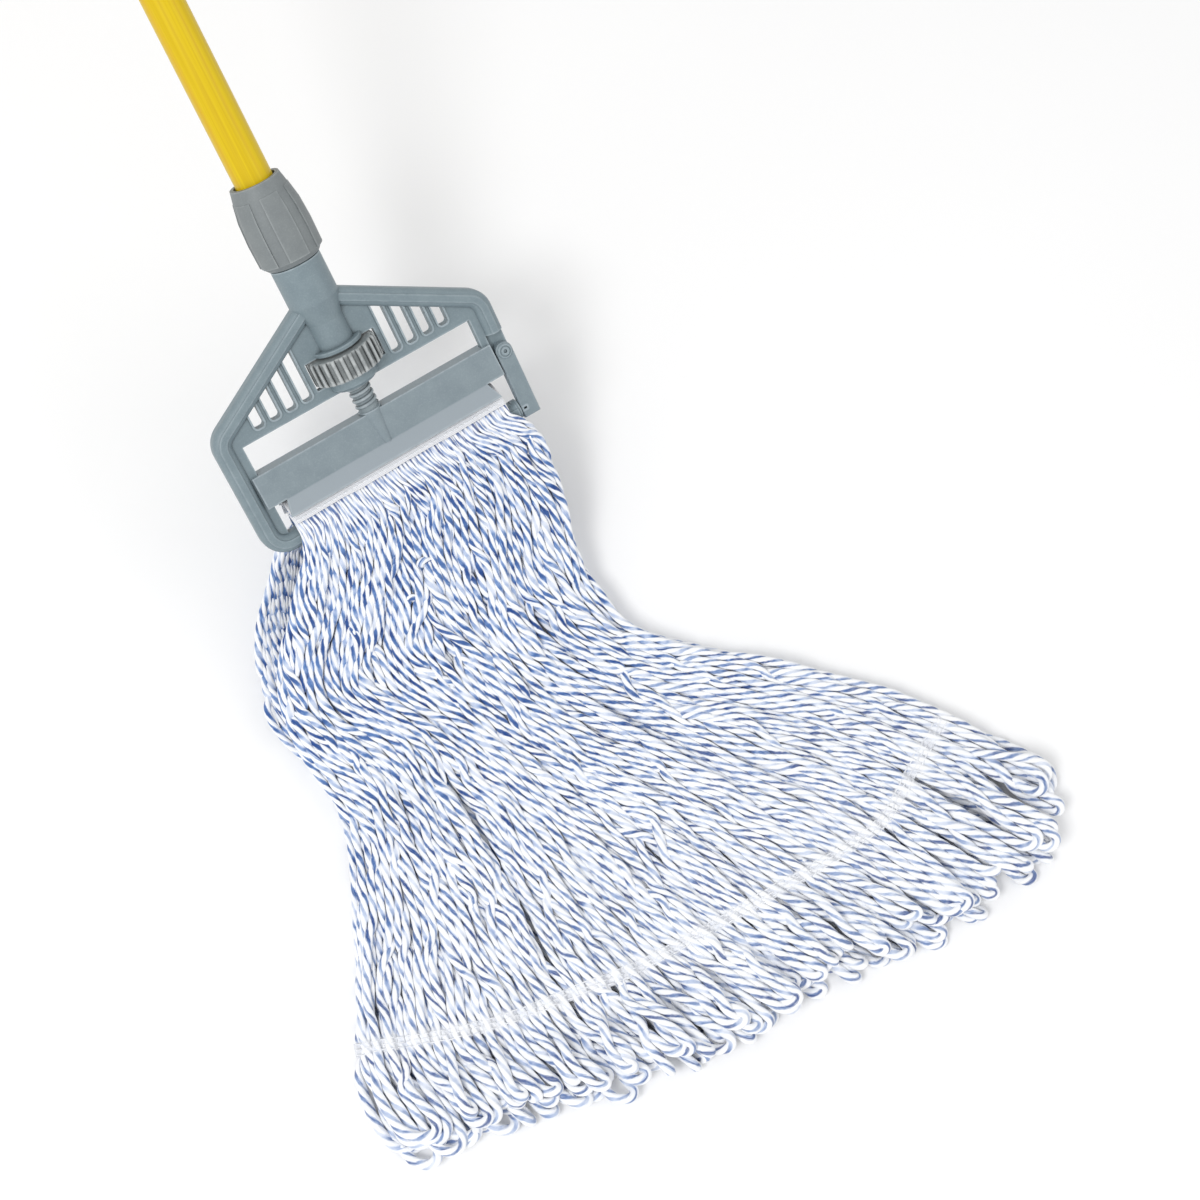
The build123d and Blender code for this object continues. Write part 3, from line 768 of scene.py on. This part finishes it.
class Bundle:
    """Tubes collected into one mesh."""

    def __init__(self, name):
        self.name = name
        self.verts, self.faces, self.uvs, self.marks = [], [], [], []
        self.total = 0

    def add(self, verts, faces, uv, sewn=False):
        self.verts.append(verts)
        self.faces.append(faces + self.total)
        self.uvs.append(uv)
        self.marks.append(sewn_mark(verts) if sewn else np.zeros(len(verts)))
        self.total += len(verts)

    def yarn(self, path, radius, phase, number, sewn=False):
        """Adds a closed yarn along a path, kept above the floor."""
        path, radius, place = resample(path, radius)
        path[:, 2] = np.maximum(path[:, 2], radius * 0.98)
        path, radius, place = close_ends(path, radius, place)
        self.add(*tube(path, radius, place, ply_profile(), TWIST_PITCH, phase, number), sewn)

    def make(self, mat):
        verts, faces, uv, marks = map(np.concatenate, (self.verts, self.faces, self.uvs, self.marks))
        return quad_mesh(self.name, verts * MM, faces, uv, mat, "yarn", marks)


def quad_mesh(name, verts, faces, uv, mat, uv_name, mark=None):
    """Smooth mesh object from quads given as arrays."""
    mesh = bpy.data.meshes.new(name)
    mesh.vertices.add(len(verts))
    mesh.vertices.foreach_set("co", verts.astype(np.float32).ravel())
    mesh.loops.add(faces.size)
    mesh.loops.foreach_set("vertex_index", faces.astype(np.int32).ravel())
    mesh.polygons.add(len(faces))
    mesh.polygons.foreach_set("loop_start", (np.arange(len(faces)) * 4).astype(np.int32))
    mesh.polygons.foreach_set("loop_total", np.full(len(faces), 4, np.int32))
    mesh.update(calc_edges=True)
    layer = mesh.uv_layers.new(name=uv_name)
    layer.data.foreach_set("uv", uv.astype(np.float32).ravel())
    if mark is not None:
        attribute = mesh.attributes.new("sewn", "FLOAT", "POINT")
        attribute.data.foreach_set("value", mark.astype(np.float32))
    mesh.validate()
    mesh.shade_smooth()
    mesh.materials.append(mat)
    obj = bpy.data.objects.new(name, mesh)
    bpy.context.scene.collection.objects.link(obj)
    return obj


def yarn_half(side, points, size, loops, entry, seed, reach, groups, mat):
    """Pieces of looped yarn for one half. Each yarn leaves the headband, turns at the tail and goes back."""
    rng = np.random.default_rng(seed)
    entry = np.array(entry)
    bounds = np.linspace(0, loops, groups + 1).astype(int)
    pieces = []
    for g in range(groups):
        bundle = Bundle(f"yarn_{side}_{g + 1:02d}")
        for loop in range(bounds[g], bounds[g + 1]):
            stop = STATIONS - rng.integers(0, 8)
            a, b = points[:stop, 2 * loop], points[:stop, 2 * loop + 1]
            ra, rb = size[:stop, 2 * loop], size[:stop, 2 * loop + 1]
            gap = np.linalg.norm(b[-1] - a[-1]) / 2
            past = max(gap, 3.8) * rng.uniform(1.0, 1.35) * reach
            turn = loop_arc(a[-1], b[-1], a[-1] - a[-4], b[-1] - b[-4], past, rng.uniform(-1.5, 3.0))
            path = np.concatenate([a[0] + entry, a, turn, b[::-1], (b[0] + entry)[::-1]])
            radius = np.concatenate([ra, np.full(len(turn), ra[-1]), rb[::-1]])
            radius = np.pad(radius, len(entry), "edge")
            bundle.yarn(path, radius, rng.uniform(0, math.tau), loop + 1, sewn=True)
        if side == "front" and g == groups // 2 - 1:
            add_curls(bundle, points)
        pieces.append(bundle.make(mat))
    return pieces


def curl_path(at, across, down, up, width, pitch):
    """Centre line of a yarn that rises out of its neighbours, turns once over itself and dives back in."""
    turn = np.linspace(-math.pi, math.pi, 48)
    right = -width * np.cos(turn)
    along = pitch * turn - abs(width) * np.sin(turn)
    rise = CURL_SINK + CURL_RISE * hump(turn, 0, 2.0) + CURL_CROSS * np.sin(turn)
    return at + right[:, None] * across + along[:, None] * down + rise[:, None] * up


def add_curls(bundle, points):
    """Small curls of yarn near the middle of the front half, below the head."""
    for number, (share, place, width, pitch) in enumerate(CURLS):
        station = int(share * (STATIONS - 1))
        row = points[station]
        wanted = (row[:, 0].min() * (1 - place) + row[:, 0].max() * (1 + place)) / 2
        near = np.argsort(np.abs(row[:, 0] - wanted))[:8]
        down = (points[station + 5, near] - points[station - 5, near]).mean(0)
        down /= np.linalg.norm(down)
        across = np.array([1.0, 0.0, 0.0]) - down[0] * down
        across /= np.linalg.norm(across)
        up = np.cross(across, -down)
        at = row[near].mean(0)
        at = at + up * ((row[near] - at) @ up).max()
        path = curl_path(at, across, down, up, width, pitch)
        bundle.yarn(path, np.full(len(path), CURL_RADIUS), 0.0, CURL_NUMBER + number)


def saddle(mat):
    """The yarns' middles, packed over the clamp bar between it and the headband."""
    bundle = Bundle("yarn_saddle")
    rng = np.random.default_rng(5)
    count, left, width, foot = 45, -77.4, 156.0, 5.0
    angle = np.linspace(0, math.pi, 25)
    layers = ((9.7, 9.6), (10.6, 13.0), (10.9, 16.4), (11.1, 19.8))  # half depth, top
    for layer, (half_depth, top) in enumerate(layers):
        for i in range(count):
            x = left + width * (i + 0.5 * (layer % 2)) / (count - 0.5) + rng.uniform(-0.4, 0.4)
            y = -half_depth * np.cos(angle)
            z = foot + (top - foot) * np.sin(angle) ** 0.75
            path = head_to_world(np.full(25, x), y, z)
            radius = np.full(25, YARN_RADIUS_SADDLE)
            bundle.yarn(path, radius, rng.uniform(0, math.tau), SADDLE_NUMBER + i + 60 * layer)
    return bundle.make(mat)


def tape_strip(name, outer, inner, mat):
    """Closed strip between two surfaces given as (rows, columns, 3) grids of points."""
    rows, columns = outer.shape[:2]
    grid = np.concatenate([outer, inner[:, ::-1]], 1)
    wide = grid.shape[1]
    ends = []
    for row in (0, rows - 1):
        for c in range(columns - 1):
            quad = [row * wide + k for k in (c, wide - 1 - c, wide - 2 - c, c + 1)]
            ends.append(quad if row == 0 else quad[::-1])
    faces = np.concatenate([ring_faces(rows, wide), np.array(ends)])
    along = arc_length(outer[:, columns // 2]) * MM
    cross = arc_length(outer[0]) * MM
    u = np.repeat(along[:, None], wide, 1).ravel()
    v = np.tile(np.concatenate([cross, cross[::-1]]), rows)
    uv = np.stack([u[faces.ravel()], v[faces.ravel()]], -1)
    return quad_mesh(name, grid.reshape(-1, 3) * MM, faces, uv, mat, "tape")


# share across the folded band, y and z of the head
HEADBAND_PROFILE = (
    (0.0, -16.0, 12.8), (0.12, -14.2, 15.8), (0.24, -12.2, 18.6), (0.38, -6.8, 23.2), (0.5, 0.0, 25.6),
    (0.62, 6.8, 23.2), (0.76, 12.2, 18.6), (0.88, 14.2, 15.8), (1.0, 16.0, 12.8),
)
HEADBAND_ENDS = (-80.8, 82.0)
SEAM_ENDS = (-79.6, 80.8)
SEAM_ROWS = ((14.75, 15.0), (12.3, 18.6))  # y and z of each row on the band's face


def headband(mat):
    """Woven band folded over the yarns, its free edges slightly wavy and its sewn rows drawn in."""
    rng = np.random.default_rng(11)
    rows, columns = 140, 26
    x = np.linspace(*HEADBAND_ENDS, rows)
    line = curve(HEADBAND_PROFILE, np.linspace(0, 1, columns))
    wave = smooth_noise(rng, 4, rows, 5)
    from_fold = np.linspace(-1, 1, columns)
    rim = np.clip(np.abs(from_fold) - 0.55, 0, 1) / 0.45
    sign = np.sign(from_fold)
    ripple = np.where(sign[None] < 0, wave[0][:, None], wave[1][:, None]) * rim[None] * 0.22
    drop = np.where(sign[None] < 0, wave[2][:, None], wave[3][:, None]) * rim[None] * 0.35
    drawn_in = sum(0.22 * hump(line[:, 1], z, 0.7) for _, z in SEAM_ROWS)
    y = line[None, :, 0] + sign[None] * (ripple - drawn_in[None])
    z = line[None, :, 1] + drop
    x = np.repeat(x[:, None], columns, 1)
    outer = head_to_world(x, y, z)
    inner_y = y - sign[None] * 1.1 * np.minimum(1, np.abs(y) / 8)
    inner_z = z - 1.2 * np.clip(1 - np.abs(y) / 14, 0, 1)
    return tape_strip("headband_tape", outer, head_to_world(x, inner_y, inner_z), mat)


def stitch_row(bundle, line, up, length, gap, sink, number, wobble, rng):
    """Row of sewn stitches along a line of points: each rises out of the cloth and dips back in."""
    arc = arc_length(line)
    count = int(arc[-1] / (length + gap))
    t = np.linspace(0, 1, 9)
    out = np.sin(math.pi * t) ** 0.5
    rise = STITCH_RADIUS * 0.75 * out - sink * (1 - out)
    for k in range(count):
        at = (k + 0.5) * arc[-1] / count - length / 2 + rng.uniform(-0.1, 0.1) + t * length
        path, normal = along_path(line, arc, at), along_path(up, arc, at)
        path = path + normal * rise[:, None]
        side = np.cross(normal[4], path[-1] - path[0])
        side /= np.linalg.norm(side) + 1e-9
        path = path + side * (wobble * rng.standard_normal())
        path, radius, place = close_ends(path, np.full(len(path), STITCH_RADIUS), arc_length(path))
        bundle.add(*tube(path, radius, place, np.ones(8), 0, 0.0, number + k))


def headband_stitches(mat):
    """Two sewn rows on each face of the headband."""
    bundle = Bundle("headband_seams")
    rng = np.random.default_rng(3)
    x = np.linspace(*SEAM_ENDS, 200)
    number = 0
    for side in (-1, 1):
        for y, z in SEAM_ROWS:
            line = head_to_world(x, np.full(200, side * y), np.full(200, z))
            normal = head_to_world(x, np.full(200, side * (y + 1)), np.full(200, z + 0.2)) - line
            normal /= np.linalg.norm(normal, axis=1)[:, None]
            stitch_row(bundle, line, normal, 3.0, 0.9, 0.5, number, 0.05, rng)
            number += 60
    return bundle.make(mat)


def top_surface(points, size, grid_x, grid_y):
    """Height of the uppermost strand near each grid point, 0 where there is none."""
    height = np.zeros(len(grid_x))
    for k, (x, y) in enumerate(zip(grid_x, grid_y)):
        d2 = (points[:, 0] - x) ** 2 + (points[:, 1] - y) ** 2
        near = d2 < (size + 1.2) ** 2
        if near.any():
            height[k] = (points[near, 2] + np.sqrt(np.clip(size[near] ** 2 - d2[near] * 0.6, 0, None))).max()
    return height


def tail_tape(tape_name, seams_name, points, size, cloth, thread):
    """Narrow tape sewn across the yarns, following their tops, with three rows of stitches."""
    rows, columns = 300, 9
    dense = np.concatenate([points[:-1] * (1 - f) + points[1:] * f for f in (0.0, 0.34, 0.67)])
    dense_size = np.concatenate([size[:-1]] * 3)
    near = dense[..., 1] < -270  # the part of the yarns that the tape can lie on
    rng = np.random.default_rng(17)
    line = curve(BAND_LINE, np.linspace(0.015, 0.955, rows))
    line = line + smooth_noise(rng, 2, rows, 14).T * 1.5
    step = np.gradient(line, axis=0)
    step /= np.linalg.norm(step, axis=1)[:, None]
    cross = np.stack([-step[:, 1], step[:, 0]], -1)
    offsets = np.linspace(-TAPE_WIDTH / 2, TAPE_WIDTH / 2, columns)
    grid = line[:, None] + cross[:, None] * offsets[None, :, None]
    height = top_surface(dense[near], dense_size[near], grid[..., 0].ravel(), grid[..., 1].ravel())
    height = height.reshape(rows, columns)
    height = np.where(height < 1, np.nan, height)
    usual = np.nanmedian(height)
    height = np.clip(np.where(np.isnan(height), usual, height), usual - 4, usual + 5)
    height = soften(height, 1.1, 6)
    top, outer, inner = (np.concatenate([grid, (height + lift)[..., None]], -1)
                         for lift in (0.0, TAPE_THICK - TAPE_SINK, -TAPE_SINK))
    tape = tape_strip(tape_name, outer, inner, cloth)
    bundle = Bundle(seams_name)
    up = np.tile([0.0, 0.0, 1.0], (rows, 1))
    for number, column in enumerate((1, 4, 7)):
        stitch_row(bundle, top[:, column], up, 4.6, 1.3, 0.9, 200 * number, 0.3, rng)
    return tape, bundle.make(thread)


# -------------------------------- build

# each plastic gets painted shade in its hollows and painted highlight on its edges and ridge tops
grey = plastic("grey_moulding", srgb(126, 141, 147), srgb(166, 179, 185), srgb(115, 130, 137), 0.46)
# the jaw's lip colour is a painted highlight
jaw_grey = plastic("jaw_moulding", srgb(132, 145, 151), srgb(170, 181, 187), srgb(122, 135, 142), 0.42,
                   lip=srgb(160, 169, 176), start=0.86)
screw_grey = plastic("screw_moulding", srgb(134, 145, 149), srgb(182, 191, 195), srgb(120, 132, 138), 0.40,
                     shade_depth=0.97, start=0.96, wear_and_highlight_width=0.0024)
gate_grey = plastic("gate_moulding", srgb(130, 144, 150), srgb(168, 180, 186), srgb(119, 133, 140), 0.44)
wheel_grey = plastic("wheel_moulding", srgb(146, 152, 152), srgb(196, 200, 200), srgb(112, 118, 120), 0.42,
                     shade_depth=0.97, reach=0.006, start=0.92, wear_and_highlight_width=0.0026)
collar_grey = plastic("collar_moulding", srgb(127, 133, 134), srgb(155, 161, 162), srgb(116, 122, 124), 0.55,
                      grain=1.6)
collet_black = plastic("collet_moulding", srgb(44, 46, 47), srgb(70, 72, 73), srgb(36, 38, 39), 0.5)
cotton = cotton_yarn()
band_cloth = woven("headband_cloth", srgb(247, 247, 248), srgb(206, 210, 220))
tail_cloth = woven("tail_cloth", srgb(250, 250, 252), srgb(222, 227, 238), 0.8)
thread = sewing_thread()

FINISHES = {
    "frame": grey, "clamp_jaw": jaw_grey, "lead_screw": screw_grey, "thumb_wheel": wheel_grey,
    "gate": gate_grey, "gate_rivet": grey, "collar_nut": collar_grey, "collet": collet_black,
    "handle_tube": fibreglass(), "handle_cap": collar_grey,
}
for node, finish in FINISHES.items():
    materials = frame["nodes"][node].data.materials
    if not materials:
        materials.append(finish)
    for index in range(len(materials)):
        materials[index] = finish


def stand_for(piece, slot, *nodes):
    """Hides the CAD nodes that a soft piece stands for. The slot of its finish is not used."""
    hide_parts(*nodes)


HALVES = (
    ("front", Drape(FRONT_ROWS, FRONT_BULGE), FRONT_ENTRY, (0, -0.062, 0.056), (0, -0.003, 0.094),
     {"loops": 66, "seed": 21, "levels": 3, "spread": (4.6, 7.2), "strays": 12, "rim_lift": NO_LIFT},
     {"seed": 31, "reach": 1.0, "groups": 8}),
    ("back", Drape(BACK_ROWS, BACK_BULGE), BACK_ENTRY, (0, 0.012, 0.028), (0, 0.012, 0.082),
     {"loops": 52, "seed": 22, "levels": 2, "spread": (4.8, 8.0), "strays": 0, "rim_lift": BACK_RIM_LIFT},
     {"seed": 32, "reach": 1.1, "groups": 7}),
)
strands = {}
for side, drape, entry, bend_start, bend_end, layout, making in HALVES:
    points, size = strands[side] = strand_paths(drape, **layout)
    pieces = yarn_half(side, points, size, layout["loops"], entry, mat=cotton, **making)
    for number, piece in enumerate(pieces):
        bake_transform(piece)
        third = ("left", "middle", "right")[number * 3 // len(pieces)]
        stand_for(piece, "yarn", f"yarn_{side}_{third}")

for piece, slot, node in (
    (saddle(cotton), "yarn", "yarn_clamped"),
    (headband(band_cloth), "band_fabric", "headband"),
    (headband_stitches(thread), "stitch_thread", "headband_stitching"),
):
    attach(piece, "frame")
    stand_for(piece, slot, node)

for side, seams_name in (("front", "tail_seams"), ("back", "tail_seams_back")):
    tape, seams = tail_tape(f"tail_tape_{side}", seams_name, *strands[side], tail_cloth, thread)
    for piece in (tape, seams):
        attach(piece, "yarn_mop")
    stand_for(tape, "band_fabric", f"tail_band_{side}")
    stand_for(seams, "stitch_thread", "tail_stitching")

# -------------------------------- stage

FLOOR_HALF = 6.0
WORLD_LIGHT = 0.75
LIT_POINT = (0.0, -0.1, 0.05)
# name, place, power in watts, size
LAMPS = (("key", (-1.6, -0.6, 2.6), 38.0, 0.9), ("fill", (1.8, -1.6, 2.0), 8.0, 1.6))
CAMERA_PLACE = (-0.2313, -0.4526, 1.3608)
CAMERA_LOOK = (0.2206, 0.2300, -0.9479)
CAMERA_UP = (0.5092, 0.8017, 0.3130)
CAMERA_LENS, CAMERA_SENSOR = 60.3, 36.0


def studio():
    """Pale floor, even world light, two soft lamps and the camera."""
    scene = bpy.context.scene
    mesh = bpy.data.meshes.new("floor")
    corners = [(x * FLOOR_HALF, y * FLOOR_HALF, 0) for x, y in ((-1, -1), (1, -1), (1, 1), (-1, 1))]
    mesh.from_pydata(corners, [], [(0, 1, 2, 3)])
    mesh.materials.append(floor_white())
    floor = bpy.data.objects.new("floor", mesh)
    scene.collection.objects.link(floor)

    world = bpy.data.worlds.new("studio")
    world.use_nodes = True
    background = world.node_tree.nodes["Background"]
    background.inputs["Color"].default_value = (1.0, 1.0, 1.0, 1.0)
    background.inputs["Strength"].default_value = WORLD_LIGHT
    scene.world = world

    for name, place, power, size in LAMPS:
        lamp = bpy.data.lights.new(name, "AREA")
        lamp.energy = power
        lamp.size = size
        obj = bpy.data.objects.new(name, lamp)
        scene.collection.objects.link(obj)
        aim = (Vector(LIT_POINT) - Vector(place)).to_track_quat("-Z", "Y")
        obj.matrix_world = Matrix.Translation(place) @ aim.to_matrix().to_4x4()

    lens = bpy.data.cameras.new("camera")
    lens.lens = CAMERA_LENS
    lens.sensor_width = CAMERA_SENSOR
    camera = bpy.data.objects.new("camera", lens)
    scene.collection.objects.link(camera)
    look = Vector(CAMERA_LOOK).normalized()
    right = look.cross(Vector(CAMERA_UP)).normalized()
    turn = Matrix((right, right.cross(look), -look)).transposed().to_4x4()
    camera.matrix_world = Matrix.Translation(CAMERA_PLACE) @ turn
    scene.camera = camera
    scene.view_settings.view_transform = "Standard"


studio()
